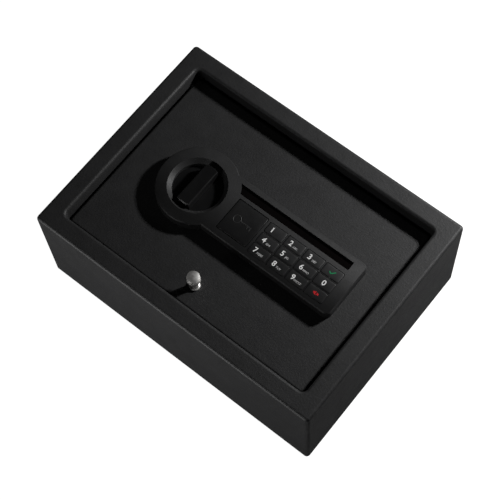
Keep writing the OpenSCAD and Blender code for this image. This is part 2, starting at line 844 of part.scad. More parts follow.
// Flanged bush pressed into the lid from below
module spindle_bush() {
    color([0.75, 0.6, 0.3]) difference() {
        union() {
            post(knob_x, knob_y, lid_under - bush_flange_t, lid_top, bush_r);
            post(knob_x, knob_y, lid_under - bush_flange_t, lid_under, bush_flange_r);
        }
        hole(knob_x, knob_y, lid_under - bush_flange_t, lid_top, spindle_r + run_fit);
    }
}

// Screw up the spindle
module knob_screw() {
    color([0.55, 0.55, 0.57]) {
        post(knob_x, knob_y, crank_z + 0.2, spindle_top, knob_screw_r);
        post(knob_x, knob_y, crank_z + 0.2, crank_z + knob_screw_head_t, knob_screw_head_r);
    }
}

// Arm staked to the spindle, whose pin drives the bolt carriage
module crank() {
    tip_r = crank_pin_r + 2;
    color([0.6, 0.6, 0.62]) difference() {
        union() {
            post(knob_x, knob_y, crank_z, crank_top, crank_hub_r);
            translate([knob_x, knob_y, crank_z]) rotate([0, 0, 45]) {
                translate([0, -tip_r, 0]) cube([crank_r, 2 * tip_r, crank_t]);
                translate([crank_r, 0, 0]) cylinder(h = crank_t, r = tip_r);
            }
            post(crank_pin_x, crank_pin_y, carriage_z - 1, crank_top, crank_pin_r);
        }
        hole(knob_x, knob_y, crank_z, crank_top, spindle_r);
    }
}

// Plate that joins both bolts: a crossbar with guide slots, lugs for the bolts, and an arm with
// the crank's slot and two notches for the plunger
module bolt_carriage() {
    slot_half = crank_pin_r + crank_slack;
    slot_x0 = crank_pin_x - crank_pin_r - 0.6;
    slot_x1 = knob_x + crank_r + crank_pin_r + 0.6;
    color([0.5, 0.5, 0.52]) difference() {
        union() {
            bar(-bar_x, bar_x, bar_front, bar_rear, carriage_z, carriage_top);
            bar(arm_x0, arm_x1, bar_rear - over, carriage_rear, carriage_z, carriage_top);
            for (x = [-1, 1] * bolt_dx / 2)
                bar(x - lug_w / 2, x + lug_w / 2, bar_front, bar_front + lug_t,
                    bolt_z - lug_h / 2, bolt_z + lug_h / 2);
        }
        bar(slot_x0, slot_x1, crank_pin_y - slot_half, crank_pin_y + slot_half,
            carriage_z - over, carriage_top + over);
        for (x = stud_places) {
            bar(x - stud_r - run_fit, x + stud_r + run_fit, stud_y, stud_y + bolt_travel,
                carriage_z - over, carriage_top + over);
            for (y = [stud_y, stud_y + bolt_travel])
                hole(x, y, carriage_z, carriage_top, stud_r + run_fit);
        }
        for (y = [plunger_y, plunger_y + bolt_travel])
            bar(arm_x1 - notch_depth, arm_x1 + over, y - notch_half, y + notch_half,
                carriage_z - over, carriage_top + over);
        for (x = [-1, 1] * bolt_dx / 2) translate([x, bar_front, bolt_z]) rotate([-90, 0, 0]) {
            translate([0, 0, -over]) cylinder(h = lug_t + 2 * over, r = shank_r);
            translate([0, 0, lug_t])
                cylinder(h = rivet_t + clear, r = rivet_r + clear);
        }
    }
}

// Steel bolts with a thinner shank riveted through the carriage's lugs
module locking_bolts() {
    color([0.72, 0.72, 0.74]) for (x = [-1, 1] * bolt_dx / 2)
        translate([x, bar_front, bolt_z]) rotate([90, 0, 0]) {
            cylinder(h = bar_front - bolt_tip - 1, r = bolt_r);
            translate([0, 0, bar_front - bolt_tip - 1])
                cylinder(h = 1, r1 = bolt_r, r2 = bolt_r - 1);
            translate([0, 0, -lug_t]) cylinder(h = lug_t, r = shank_r);
            translate([0, 0, -lug_t - rivet_t]) cylinder(h = rivet_t, r = rivet_r);
        }
}

// Studs welded below the lid, which the carriage slides along
module guide_studs() {
    color([0.6, 0.6, 0.62]) for (x = stud_places) {
        post(x, stud_y, carriage_top + 0.1, lid_under, stud_shoulder_r);
        post(x, stud_y, carriage_z - 0.1, carriage_top + 0.1, stud_r);
        post(x, stud_y, carriage_z - 0.1 - washer_t - nut5_t - 0.6, carriage_z - 0.1,
            stud_thread_r);
    }
}

module guide_washers() {
    color([0.7, 0.7, 0.72]) for (x = stud_places) difference() {
        post(x, stud_y, carriage_z - 0.1 - washer_t, carriage_z - 0.1, washer_r);
        hole(x, stud_y, carriage_z - 0.1 - washer_t, carriage_z - 0.1, stud_thread_r);
    }
}

module guide_nuts() {
    z = carriage_z - 0.1 - washer_t - nut5_t;
    color([0.55, 0.55, 0.57]) for (x = stud_places) difference() {
        translate([x, stud_y, z]) cylinder(h = nut5_t, r = nut5_r, $fn = 6);
        hole(x, stud_y, z, z + nut5_t, stud_thread_r);
    }
}

// ---------- Solenoid ----------

// Bent strap below the lid with two cheeks that hold the coil
module solenoid_frame() {
    y0 = plunger_y - solenoid_w / 2;
    y1 = plunger_y + solenoid_w / 2;
    color([0.6, 0.6, 0.62]) difference() {
        union() {
            bar(solenoid_x0, solenoid_x1, y0, y1, lid_under - frame_t, lid_under);
            for (x = [solenoid_x0, solenoid_x1 - frame_t])
                bar(x, x + frame_t, y0, y1, bolt_z - 6.5, lid_under);
        }
        translate([solenoid_x0 - over, plunger_y, bolt_z]) rotate([0, 90, 0])
            cylinder(h = frame_t + 2 * over, r = coil_bore);
    }
}

module solenoid_coil() {
    color([0.6, 0.3, 0.15])
        translate([solenoid_x0 + frame_t, plunger_y, bolt_z]) rotate([0, 90, 0]) difference() {
            cylinder(h = solenoid_len - 2 * frame_t, r = coil_r);
            translate([0, 0, -over])
                cylinder(h = solenoid_len - 2 * frame_t + 2 * over, r = coil_bore);
        }
}

// Round steel plunger that blocks the bolt carriage
module solenoid_plunger() {
    color([0.72, 0.72, 0.74]) translate([plunger_tip, plunger_y, bolt_z]) rotate([0, 90, 0]) {
        cylinder(h = 0.6, r1 = plunger_r - 0.6, r2 = plunger_r);
        translate([0, 0, 0.6]) cylinder(h = plunger_len - 0.6, r = plunger_r);
    }
}

// Spring behind the plunger, which pushes it out of the coil
module plunger_spring() {
    start = plunger_tip + plunger_len + 2 * spring_wire;
    length = solenoid_x1 - frame_t - 2 * spring_wire - start;
    color([0.75, 0.75, 0.77]) translate([start, plunger_y, bolt_z])
        coil_of_wire(plunger_r - spring_wire - 0.3, spring_wire, spring_turns, length);
}

// ---------- Power, control and inner cover ----------

// Circuit board with its larger parts, on the lid's underside
module control_board() {
    color([0.05, 0.22, 0.1]) {
        plate(pcb_x - pcb_w / 2, pcb_x + pcb_w / 2, pcb_y - pcb_d / 2, pcb_y + pcb_d / 2,
            pcb_z, board_t, 1);
        for (x = [-1, 1] * (pcb_w / 2 - 3))
            post(pcb_x + x, pcb_y + pcb_d / 2 - 3, pcb_z + board_t, lid_under, 2);
        bar(pcb_x - 12, pcb_x + 2, pcb_y - 6, pcb_y + 6, pcb_z - 2.2, pcb_z);
        post(pcb_x + 14, pcb_y + 4, pcb_z - 6, pcb_z, 3.5);
    }
}

// Moulded tray that closes the lid's underside over the mechanism, with the battery opening
module inner_cover() {
    color([0.08, 0.08, 0.085]) difference() {
        bar(-inner_x0, inner_x0, inner_y0, inner_y1, inner_z, inner_top);
        bar(-inner_x0 + inner_wall, inner_x0 - inner_wall, inner_y0 + inner_wall,
            inner_y1 - inner_wall, inner_z + inner_wall, inner_top + over);
        for (x = [-1, 1] * bolt_dx / 2)
            translate([x, inner_y0, bolt_z]) rotate([90, 0, 0])
                cylinder(h = 4 * inner_wall, r = bolt_r + clear, center = true);
        for (p = post_places) hole(p[0], p[1], inner_z, inner_z + inner_wall, post_screw_r);
        bar(cells_x - door_w / 2, cells_x + door_w / 2, cells_y - door_d / 2,
            cells_y + door_d / 2, inner_z - over, inner_z + inner_wall + over);
        bar(cells_x - door_w / 2 - door_rim, cells_x + door_w / 2 + door_rim,
            cells_y - door_d / 2 - door_rim, cells_y + door_d / 2 + door_rim,
            inner_z - over, inner_z + door_half_t);
    }
}

// Threaded posts welded below the lid for the inner cover
module cover_standoffs() {
    color([0.6, 0.6, 0.62]) for (p = post_places) difference() {
        post(p[0], p[1], inner_z + inner_wall, lid_under, post_r);
        post(p[0], p[1], inner_z, inner_z + 12, post_screw_r);
    }
}

module cover_screws() {
    color([0.55, 0.55, 0.57]) for (p = post_places) {
        post(p[0], p[1], inner_z, inner_z + 11, post_screw_r);
        post(p[0], p[1], inner_z - 1.6, inner_z, post_screw_r + 1.5);
    }
}

// Rebated lid over the cells, which lifts out of the inner cover
module battery_door() {
    color([0.09, 0.09, 0.095]) {
        bar(cells_x - door_w / 2 + door_gap, cells_x + door_w / 2 - door_gap,
            cells_y - door_d / 2 + door_gap, cells_y + door_d / 2 - door_gap,
            inner_z, inner_z + inner_wall);
        bar(cells_x - door_w / 2 - door_rim + door_gap, cells_x + door_w / 2 + door_rim - door_gap,
            cells_y - door_d / 2 - door_rim + door_gap, cells_y + door_d / 2 + door_rim - door_gap,
            inner_z, inner_z + door_half_t);
    }
}

// Round cells side by side, each turned the other way, with a button at its positive end
module batteries() {
    button = 1.2;
    for (i = [0 : cells - 1])
        translate([cells_x + (i - (cells - 1) / 2) * cell_dx, cells_y, cell_z])
            rotate([i % 2 == 0 ? 90 : -90, 0, 0]) {
                color([0.15, 0.15, 0.16])
                    translate([0, 0, -cell_len / 2]) cylinder(h = cell_len - button, r = cell_r);
                color([0.75, 0.75, 0.77])
                    translate([0, 0, cell_len / 2 - button]) cylinder(h = button, r = 2.7);
            }
}

// Sprung plates at both ends of the cells
module battery_contacts() {
    w = cells * cell_dx - 1;
    color([0.75, 0.75, 0.77]) for (side = [0, 1])
        translate([cells_x, cells_y, 0]) mirror([0, side, 0])
            bar(-w / 2, w / 2, cell_len / 2, cell_len / 2 + contact_t,
                cell_z - cell_r + 1, lid_under);
}

front_rear_walls();
side_walls();
rim_frame();
base_plate();
floor_mat();
hinge_bracket(-1);  // hinge_bracket_left
hinge_bracket(1);  // hinge_bracket_right
lid_rests();
lid_panel();
hinge_pins();
pull_knob();
pull_knob_screw();
lock_housing();
lock_screws();
led_window();
status_leds();
keypad_board();
contact_domes();
keypad_ribbon();
key_cover();
key_cylinder();
cylinder_nut();
key_plug();
release_cam();
turn_knob();
knob_spindle();
spindle_bush();
knob_screw();
crank();
bolt_carriage();
locking_bolts();
guide_studs();
guide_washers();
guide_nuts();
solenoid_frame();
solenoid_coil();
solenoid_plunger();
plunger_spring();
control_board();
inner_cover();
cover_standoffs();
cover_screws();
battery_door();
batteries();
battery_contacts();
key_cap(0, -1);  // key_1
key_cap(1, -1);  // key_2
key_cap(2, -1);  // key_3
key_cap(3, -1);  // key_enter
key_cap(0, 0);  // key_4
key_cap(1, 0);  // key_5
key_cap(2, 0);  // key_6
key_cap(3, 0);  // key_0
key_cap(0, 1);  // key_7
key_cap(1, 1);  // key_8
key_cap(2, 1);  // key_9
key_cap(3, 1);  // key_mute
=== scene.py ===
import math

import bmesh
import bpy
import numpy as np
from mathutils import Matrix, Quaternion, Vector


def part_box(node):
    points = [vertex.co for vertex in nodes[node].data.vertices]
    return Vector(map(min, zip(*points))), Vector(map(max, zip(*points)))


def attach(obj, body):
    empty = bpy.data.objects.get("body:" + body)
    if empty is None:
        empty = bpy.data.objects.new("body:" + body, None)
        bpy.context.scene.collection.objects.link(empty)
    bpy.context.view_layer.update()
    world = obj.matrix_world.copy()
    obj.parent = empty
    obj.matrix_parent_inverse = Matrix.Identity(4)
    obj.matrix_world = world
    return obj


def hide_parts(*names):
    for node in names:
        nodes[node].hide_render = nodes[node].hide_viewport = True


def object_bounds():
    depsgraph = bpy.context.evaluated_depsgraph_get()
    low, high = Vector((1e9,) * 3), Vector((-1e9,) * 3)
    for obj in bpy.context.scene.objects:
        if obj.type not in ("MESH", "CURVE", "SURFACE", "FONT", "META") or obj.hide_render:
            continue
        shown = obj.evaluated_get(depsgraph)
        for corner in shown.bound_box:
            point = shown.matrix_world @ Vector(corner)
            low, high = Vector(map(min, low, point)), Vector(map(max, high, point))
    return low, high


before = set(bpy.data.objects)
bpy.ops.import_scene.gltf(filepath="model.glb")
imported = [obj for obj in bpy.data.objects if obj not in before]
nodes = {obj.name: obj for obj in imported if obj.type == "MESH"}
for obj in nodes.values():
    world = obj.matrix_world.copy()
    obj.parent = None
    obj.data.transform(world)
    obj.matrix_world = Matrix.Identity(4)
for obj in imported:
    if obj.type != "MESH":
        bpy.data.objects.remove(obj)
cad_box = [[float(v) for v in corner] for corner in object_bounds()]
mm = 0.001


# ---------- Studio ----------
# A pale seamless table under one small lamp behind the right corner, which throws the crisp
# shadows. Three weak panels fill the front, the front's lower part and the left.

scene = bpy.context.scene
scene.view_settings.view_transform = "Standard"


def aimed(data, place, aim, roll=0.0):
    """An object at place whose -Z axis points at aim, rolled in degrees about that axis."""
    thing = bpy.data.objects.new(data.name, data)
    scene.collection.objects.link(thing)
    thing.location = place
    thing.rotation_mode = "QUATERNION"
    track = (Vector(aim) - Vector(place)).to_track_quat("-Z", "Y")
    thing.rotation_quaternion = track @ Quaternion((0, 0, 1), math.radians(roll))
    return thing


def step(tree, kind, values, links, **settings):
    """A node with some sockets set to values and some linked from other nodes' outputs."""
    node = tree.nodes.new("ShaderNode" + kind)
    for key, value in settings.items():
        setattr(node, key, value)
    for socket, value in values.items():
        node.inputs[socket].default_value = value
    for socket, output in links.items():
        tree.links.new(output, node.inputs[socket])
    return node


def math_step(tree, operation, *terms, clamp=False):
    """A Math node whose terms are numbers or outputs, and its result."""
    node = tree.nodes.new("ShaderNodeMath")
    node.operation = operation
    node.use_clamp = clamp
    for place, term in enumerate(terms):
        if isinstance(term, (int, float)):
            node.inputs[place].default_value = term
        else:
            tree.links.new(term, node.inputs[place])
    return node.outputs[0]


def panel(name, place, aim, width, height, power):
    """A lamp panel that shines on aim and that the camera doesn't see."""
    lamp = bpy.data.lights.new(name, "AREA")
    lamp.shape = "RECTANGLE"
    lamp.size = width
    lamp.size_y = height
    lamp.energy = power
    aimed(lamp, place, aim).visible_camera = False


focal_length_mm = 100.7
camera_place = (0.3419, -0.3599, 1.2031)
camera_aim = (0.0011, -0.0023, 0.055)
camera_roll = -5.42
lens = bpy.data.cameras.new("view")
lens.lens = focal_length_mm
scene.camera = aimed(lens, camera_place, camera_aim, camera_roll)

panel("back_lamp", (0.270, 0.437, 0.405), (-0.02, 0.0, 0.09), 0.05, 0.05, 4.1)
panel("front_strip", (-0.36, -1.10, 0.40), (0.0, 0.0, 0.08), 0.5, 0.12, 1.8)
panel("table_bounce", (-0.15, -0.60, 0.05), (-0.05, -0.11, 0.05), 0.5, 0.09, 1.9)
panel("left_fill", (-1.1, 0.1, 0.9), (0.0, 0.0, 0.05), 0.6, 0.6, 0.10)

# The room is pale to the camera and gives the model almost no light
room_light = 0.006
world = bpy.data.worlds.new("studio")
world.use_nodes = True
tree = world.node_tree
background = tree.nodes["Background"]
background.inputs["Color"].default_value = (1.0, 1.0, 1.0, 1.0)
seen = tree.nodes.new("ShaderNodeLightPath").outputs["Is Camera Ray"]
tree.links.new(math_step(tree, "ADD", seen, room_light), background.inputs["Strength"])
scene.world = world

table_mesh = bpy.data.meshes.new("table_top")
table_half = 4.0
corners = [(table_half * x, table_half * y, 0.0) for x, y in ((-1, -1), (1, -1), (1, 1), (-1, 1))]
table_mesh.from_pydata(corners, [], [(0, 1, 2, 3)])
table_top = bpy.data.objects.new("table_top", table_mesh)
scene.collection.objects.link(table_top)
paper = bpy.data.materials.new("pale_paper")
paper.use_nodes = True
paper_shader = paper.node_tree.nodes["Principled BSDF"]
paper_shader.inputs["Base Color"].default_value = (0.18, 0.18, 0.18, 1.0)
paper_shader.inputs["Roughness"].default_value = 0.95
paper_shader.inputs["Specular IOR Level"].default_value = 0.1
paper_shader.inputs["Emission Color"].default_value = (1.0, 1.0, 1.0, 1.0)

# The table shows pale to the camera, except under the safe: 1 where |x| or |y| is past a
# rectangle a little smaller than its box
dark_inset = 10 * mm
tree = paper.node_tree
seen = tree.nodes.new("ShaderNodeLightPath").outputs["Is Camera Ray"]
point = tree.nodes.new("ShaderNodeTexCoord").outputs["Object"]
apart = step(tree, "SeparateXYZ", {}, {"Vector": point})
past = [math_step(tree, "GREATER_THAN", math_step(tree, "ABSOLUTE", apart.outputs[axis]),
                  reach - dark_inset)
        for axis, reach in zip("XY", cad_box[1])]
shown = math_step(tree, "MULTIPLY", seen, math_step(tree, "MAXIMUM", *past))
tree.links.new(shown, paper_shader.inputs["Emission Strength"])
table_mesh.materials.append(paper)


# ---------- Steel body and lid ----------
# Folded and welded sheet steel under a fine satin black powder coat. The coat has the slight
# ripple of sprayed powder, and a painted highlight makes it a little lighter along the outer
# bends.


def effect(name, inputs, outputs):
    """An empty shader node group with float, colour or vector sockets: {name: (kind, value)}."""
    tree = bpy.data.node_groups.new(name, "ShaderNodeTree")
    for socket, (kind, value) in inputs.items():
        made = tree.interface.new_socket(socket, in_out="INPUT", socket_type="NodeSocket" + kind)
        if value is not None:
            made.default_value = value
    for socket in outputs:
        tree.interface.new_socket(socket, in_out="OUTPUT", socket_type="NodeSocketFloat")
    return tree, tree.nodes.new("NodeGroupInput"), tree.nodes.new("NodeGroupOutput")


# Soft cloudy mask: noise, with its contrast raised about the middle
clouds, inside, outside = effect(
    "clouds", {"Vector": ("Vector", None), "Scale": ("Float", 40.0)}, ["Mask"])
noise = step(clouds, "TexNoise", {"Detail": 4.0, "Roughness": 0.6},
             {"Vector": inside.outputs["Vector"], "Scale": inside.outputs["Scale"]})
spread = step(clouds, "MapRange", {"From Min": 0.32, "From Max": 0.68},
              {"Value": noise.outputs["Fac"]})
clouds.links.new(spread.outputs["Result"], outside.inputs["Mask"])

# Grain: broad ripple plus a finer tooth at five times the scale
grain, inside, outside = effect(
    "grain",
    {"Vector": ("Vector", None), "Scale": ("Float", 900.0), "Tooth": ("Float", 0.35)},
    ["Height"])
ripple = step(grain, "TexNoise", {"Detail": 2.0},
              {"Vector": inside.outputs["Vector"], "Scale": inside.outputs["Scale"]})
finer = math_step(grain, "MULTIPLY", inside.outputs["Scale"], 5.0)
tooth = step(grain, "TexNoise", {"Detail": 1.0},
             {"Vector": inside.outputs["Vector"], "Scale": finer})
bite = math_step(grain, "MULTIPLY", tooth.outputs["Fac"], inside.outputs["Tooth"])
height = math_step(grain, "ADD", ripple.outputs["Fac"], bite)
grain.links.new(height, outside.inputs["Height"])

# Painted edge highlight: a mask near the edges of a box that is centred on the Z axis, where
# two of its faces meet, broken up by noise
edge_highlight, inside, outside = effect(
    "painted_edge_highlight",
    {"Vector": ("Vector", None), "Half width": ("Float", 0.1), "Half depth": ("Float", 0.1),
     "Top": ("Float", 0.1), "Reach": ("Float", 0.004)},
    ["Mask"])
apart = step(edge_highlight, "SeparateXYZ", {}, {"Vector": inside.outputs["Vector"]})
from_side = math_step(edge_highlight, "SUBTRACT", inside.outputs["Half width"],
                      math_step(edge_highlight, "ABSOLUTE", apart.outputs["X"]))
from_end = math_step(edge_highlight, "SUBTRACT", inside.outputs["Half depth"],
                     math_step(edge_highlight, "ABSOLUTE", apart.outputs["Y"]))
from_top = math_step(edge_highlight, "ABSOLUTE", math_step(edge_highlight, "SUBTRACT", inside.outputs["Top"],
                                                   apart.outputs["Z"]))
upright = math_step(edge_highlight, "MAXIMUM", from_side, from_end)
side_edge = math_step(edge_highlight, "MAXIMUM", from_side, from_top)
end_edge = math_step(edge_highlight, "MAXIMUM", from_end, from_top)
nearest = math_step(edge_highlight, "MINIMUM", upright, math_step(edge_highlight, "MINIMUM", side_edge, end_edge))
near = math_step(edge_highlight, "SUBTRACT", 1.0,
                 math_step(edge_highlight, "DIVIDE", nearest, inside.outputs["Reach"]), clamp=True)
patches = step(edge_highlight, "TexNoise", {"Scale": 120.0, "Detail": 5.0, "Roughness": 0.7},
               {"Vector": inside.outputs["Vector"]})
broken = step(edge_highlight, "MapRange", {"From Min": 0.45, "From Max": 0.75},
              {"Value": patches.outputs["Fac"]})
edge_highlight.links.new(math_step(edge_highlight, "MULTIPLY", near, broken.outputs["Result"]),
                 outside.inputs["Mask"])


def placed(tree, group, links, **values):
    """A group inside a material, with its inputs linked or set."""
    node = tree.nodes.new("ShaderNodeGroup")
    node.node_tree = group
    for socket, output in links.items():
        tree.links.new(output, node.inputs[socket])
    for socket, value in values.items():
        node.inputs[socket.replace("_", " ")].default_value = value
    return node


def material(name, dark, light, rough, cloud_scale=40.0, **shader_sockets):
    """Colour from dark to light and roughness from rough[0] to rough[1], both over soft clouds."""
    made = bpy.data.materials.new(name)
    made.use_nodes = True
    tree = made.node_tree
    shader = tree.nodes["Principled BSDF"]
    point = tree.nodes.new("ShaderNodeTexCoord").outputs["Object"]
    cloud = placed(tree, clouds, {"Vector": point}, Scale=cloud_scale)
    tint = tree.nodes.new("ShaderNodeMix")
    tint.data_type = "RGBA"
    tint.inputs[6].default_value = (*dark, 1.0)
    tint.inputs[7].default_value = (*light, 1.0)
    tree.links.new(cloud.outputs["Mask"], tint.inputs[0])
    tree.links.new(tint.outputs[2], shader.inputs["Base Color"])
    gloss_cloud = placed(tree, clouds, {"Vector": point}, Scale=2.3 * cloud_scale)
    gloss = step(tree, "MapRange", {"To Min": rough[0], "To Max": rough[1]},
                 {"Value": gloss_cloud.outputs["Mask"]})
    tree.links.new(gloss.outputs["Result"], shader.inputs["Roughness"])
    for socket, value in shader_sockets.items():
        shader.inputs[socket.replace("_", " ")].default_value = value
    return made, tree, shader, point, tint.outputs[2]


def bump(tree, shader, height, depth, strength=1.0):
    """Height, from 0 to 1, as relief of the given depth in metres."""
    node = step(tree, "Bump", {"Strength": strength, "Distance": depth}, {"Height": height})
    tree.links.new(node.outputs["Normal"], shader.inputs["Normal"])


def blend_colour(tree, mask, base, colour):
    """Base colour with another laid over it where the mask is 1."""
    node = tree.nodes.new("ShaderNodeMix")
    node.data_type = "RGBA"
    tree.links.new(mask, node.inputs[0])
    tree.links.new(base, node.inputs[6])
    node.inputs[7].default_value = (*colour, 1.0)
    return node.outputs[2]


def dress(made, *names):
    """Gives CAD nodes a material."""
    for name in names:
        nodes[name].data.materials.clear()
        nodes[name].data.materials.append(made)


def powder_coat(name, box, reach):
    """Satin black powder coat, with a painted highlight along the outer edges of a box."""
    made, tree, shader, point, tint = material(
        name, (0.0205, 0.0205, 0.0209), (0.0255, 0.0255, 0.0260), (0.50, 0.56), 60.0,
        Specular_IOR_Level=0.35)
    edge_light = placed(tree, edge_highlight, {"Vector": point}, Half_width=box[1][0], Half_depth=box[1][1],
                 Top=box[1][2], Reach=reach)
    # Painted highlight: the coat turns lighter along the box's outer edges where the mask is 1
    tree.links.new(blend_colour(tree, edge_light.outputs["Mask"], tint, (0.042, 0.042, 0.043)),
                   shader.inputs["Base Color"])
    relief = placed(tree, grain, {"Vector": point}, Scale=550.0, Tooth=0.6)
    bump(tree, shader, relief.outputs["Height"], 0.16 * mm, 1.0)
    return made


rim_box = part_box("rim_frame")
body_coat = powder_coat("body_powder_coat", rim_box, 2.4 * mm)
lid_coat = powder_coat("lid_powder_coat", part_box("lid_panel"), 1.8 * mm)
dress(body_coat, "front_rear_walls", "side_walls", "rim_frame", "base_plate")
dress(lid_coat, "lid_panel")


# ---------- Foam floor mat ----------
# Die-cut sheet of dark closed-cell foam with softened cut edges and open pores, laid loose on
# the base and cut out around the anchor holes.


def merged_copy(name, source):
    """A new mesh object made from a CAD node's loose triangles, welded and with flat faces."""
    mesh = nodes[source].data.copy()
    mesh.name = name
    work = bmesh.new()
    work.from_mesh(mesh)
    bmesh.ops.remove_doubles(work, verts=work.verts, dist=0.002 * mm)
    bmesh.ops.dissolve_limit(work, angle_limit=math.radians(1.0), verts=work.verts,
                             edges=work.edges)
    work.to_mesh(mesh)
    work.free()
    mesh.materials.clear()
    copy = bpy.data.objects.new(name, mesh)
    scene.collection.objects.link(copy)
    return copy


foam, tree, shader, point, tint = material(
    "dark_foam", (0.032, 0.032, 0.034), (0.058, 0.058, 0.061), (0.85, 0.98), 160.0,
    Specular_IOR_Level=0.2)
cells = step(tree, "TexVoronoi", {"Scale": 900.0}, {"Vector": point})
pore = step(tree, "MapRange", {"From Max": 0.6}, {"Value": cells.outputs["Distance"]})
bump(tree, shader, pore.outputs["Result"], 0.25 * mm, 0.8)

foam_mat = merged_copy("foam_mat", "floor_mat")
foam_mat.data.materials.append(foam)
cut_edge = foam_mat.modifiers.new("cut_edge", "BEVEL")
cut_edge.width = 0.9 * mm
cut_edge.segments = 3
cut_edge.angle_limit = math.radians(50)
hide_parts("floor_mat")
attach(foam_mat, "body")


# ---------- Plated steel of the hinges and the lock work ----------
# Pressed and turned steel with a thin zinc coat: a cool grey with faint spangle, and fine
# lines left by rolling.


def plated(name, dark, light, rough, line_scale, lines):
    """Metal with fine lines: noise stretched along one axis, by the scales in lines."""
    made, tree, shader, point, tint = material(name, dark, light, rough, 90.0, Metallic=1.0)
    drawn = step(tree, "Mapping", {"Scale": lines}, {"Vector": point})
    relief = placed(tree, grain, {"Vector": drawn.outputs["Vector"]}, Scale=line_scale,
                    Tooth=0.4)
    bump(tree, shader, relief.outputs["Height"], 0.02 * mm, 0.5)
    return made


zinc = plated("zinc_plate", (0.40, 0.42, 0.45), (0.58, 0.60, 0.62), (0.28, 0.42), 300.0,
              (1.0, 14.0, 1.0))
turned = plated("turned_steel", (0.58, 0.58, 0.59), (0.70, 0.70, 0.70), (0.16, 0.26), 300.0,
                (16.0, 1.0, 1.0))
brass = plated("turned_brass", (0.55, 0.40, 0.16), (0.68, 0.52, 0.24), (0.20, 0.32), 300.0,
               (1.0, 1.0, 16.0))
dress(zinc, "hinge_bracket_left", "hinge_bracket_right", "lid_rests", "hinge_pins",
      "pull_knob_screw", "lock_screws", "cylinder_nut", "release_cam", "knob_spindle",
      "knob_screw", "crank", "bolt_carriage", "guide_studs", "guide_washers", "guide_nuts",
      "solenoid_frame", "cover_standoffs")
dress(turned, "locking_bolts", "solenoid_plunger", "plunger_spring", "battery_contacts",
      "contact_domes")
dress(brass, "key_plug", "spindle_bush")


# ---------- Pull knob ----------
# Small knob turned from bar, then nickel plated: a bright but not mirror-like finish, with the
# fine rings of the turning tool.

nickel, tree, shader, point, tint = material(
    "satin_nickel", (0.86, 0.85, 0.83), (0.94, 0.93, 0.91), (0.42, 0.50), 200.0, Metallic=1.0)
rings = step(tree, "Mapping", {"Scale": (1.0, 1.0, 40.0)}, {"Vector": point})
relief = placed(tree, grain, {"Vector": rings.outputs["Vector"]}, Scale=150.0, Tooth=0.3)
bump(tree, shader, relief.outputs["Height"], 0.012 * mm, 0.5)
dress(nickel, "pull_knob", "key_cylinder")


# ---------- Lock housing, turn knob and key cover ----------
# Injection-moulded black plastic. The mould's spark-eroded skin leaves a fine even tooth, and
# the key cover is a separate plate with its own gap and a small raised key sign.


knob_low, knob_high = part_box("turn_knob")

# Pillow: a normal that leans away from the housing's middle line, and the more so towards the
# edge; the round end leans back from the turn knob too, but less
pillowed, inside, outside = effect(
    "pillow", {"Vector": ("Vector", None), "Normal": ("Vector", None),
               "Start": ("Float", (knob_low.x + knob_high.x) / 2),
               "Middle": ("Float", (knob_low.y + knob_high.y) / 2),
               "Lean": ("Float", 9.0)}, [])
pillowed.interface.new_socket("Normal", in_out="OUTPUT", socket_type="NodeSocketVector")
apart = step(pillowed, "SeparateXYZ", {}, {"Vector": inside.outputs["Vector"]})
facing = step(pillowed, "SeparateXYZ", {}, {"Vector": inside.outputs["Normal"]})
flat_top = math_step(pillowed, "GREATER_THAN", facing.outputs["Z"], 0.8)
share = math_step(pillowed, "MULTIPLY", flat_top, inside.outputs["Lean"])
behind = math_step(pillowed, "MINIMUM", 0.0, math_step(
    pillowed, "SUBTRACT", apart.outputs["X"], inside.outputs["Start"]))
lean_x = math_step(pillowed, "MULTIPLY", share, math_step(pillowed, "MULTIPLY", behind, 0.4))
lean_y = math_step(pillowed, "MULTIPLY", share,
                   math_step(pillowed, "SUBTRACT", apart.outputs["Y"], inside.outputs["Middle"]))
leaning = step(pillowed, "CombineXYZ", {}, {"X": lean_x, "Y": lean_y})
summed = step(pillowed, "VectorMath", {}, {0: inside.outputs["Normal"], 1: leaning.outputs[0]})
in_world = step(pillowed, "VectorTransform", {}, {"Vector": summed.outputs[0]},
                vector_type="NORMAL", convert_from="OBJECT", convert_to="WORLD")
pillowed.links.new(in_world.outputs[0], outside.inputs["Normal"])


def moulded(name, dark, light, rough, tooth_scale, depth, lean=0.0):
    """Moulded plastic: even fine tooth over soft clouds of gloss, on a slightly domed face."""
    made, tree, shader, point, tint = material(name, dark, light, rough, 60.0,
                                               Specular_IOR_Level=0.35)
    relief = placed(tree, grain, {"Vector": point}, Scale=tooth_scale, Tooth=0.8)
    facing = tree.nodes.new("ShaderNodeTexCoord").outputs["Normal"]
    dome = placed(tree, pillowed, {"Vector": point, "Normal": facing}, Lean=lean)
    node = step(tree, "Bump", {"Strength": 0.8, "Distance": depth},
                {"Height": relief.outputs["Height"], "Normal": dome.outputs["Normal"]})
    tree.links.new(node.outputs["Normal"], shader.inputs["Normal"])
    return made


housing_plastic = moulded("moulded_black", (0.0180, 0.0180, 0.0183), (0.0216, 0.0216, 0.0220),
                          (0.46, 0.52), 1500.0, 0.05 * mm, 17.0)
knob_plastic = moulded("knob_black", (0.0055, 0.0055, 0.0057), (0.0075, 0.0075, 0.0077),
                       (0.30, 0.36), 1800.0, 0.015 * mm)
cover_plastic = moulded("cover_black", (0.0085, 0.0085, 0.0087), (0.0110, 0.0110, 0.0113),
                        (0.38, 0.44), 1500.0, 0.05 * mm, 10.0)
dress(housing_plastic, "lock_housing", "inner_cover")
dress(knob_plastic, "turn_knob")


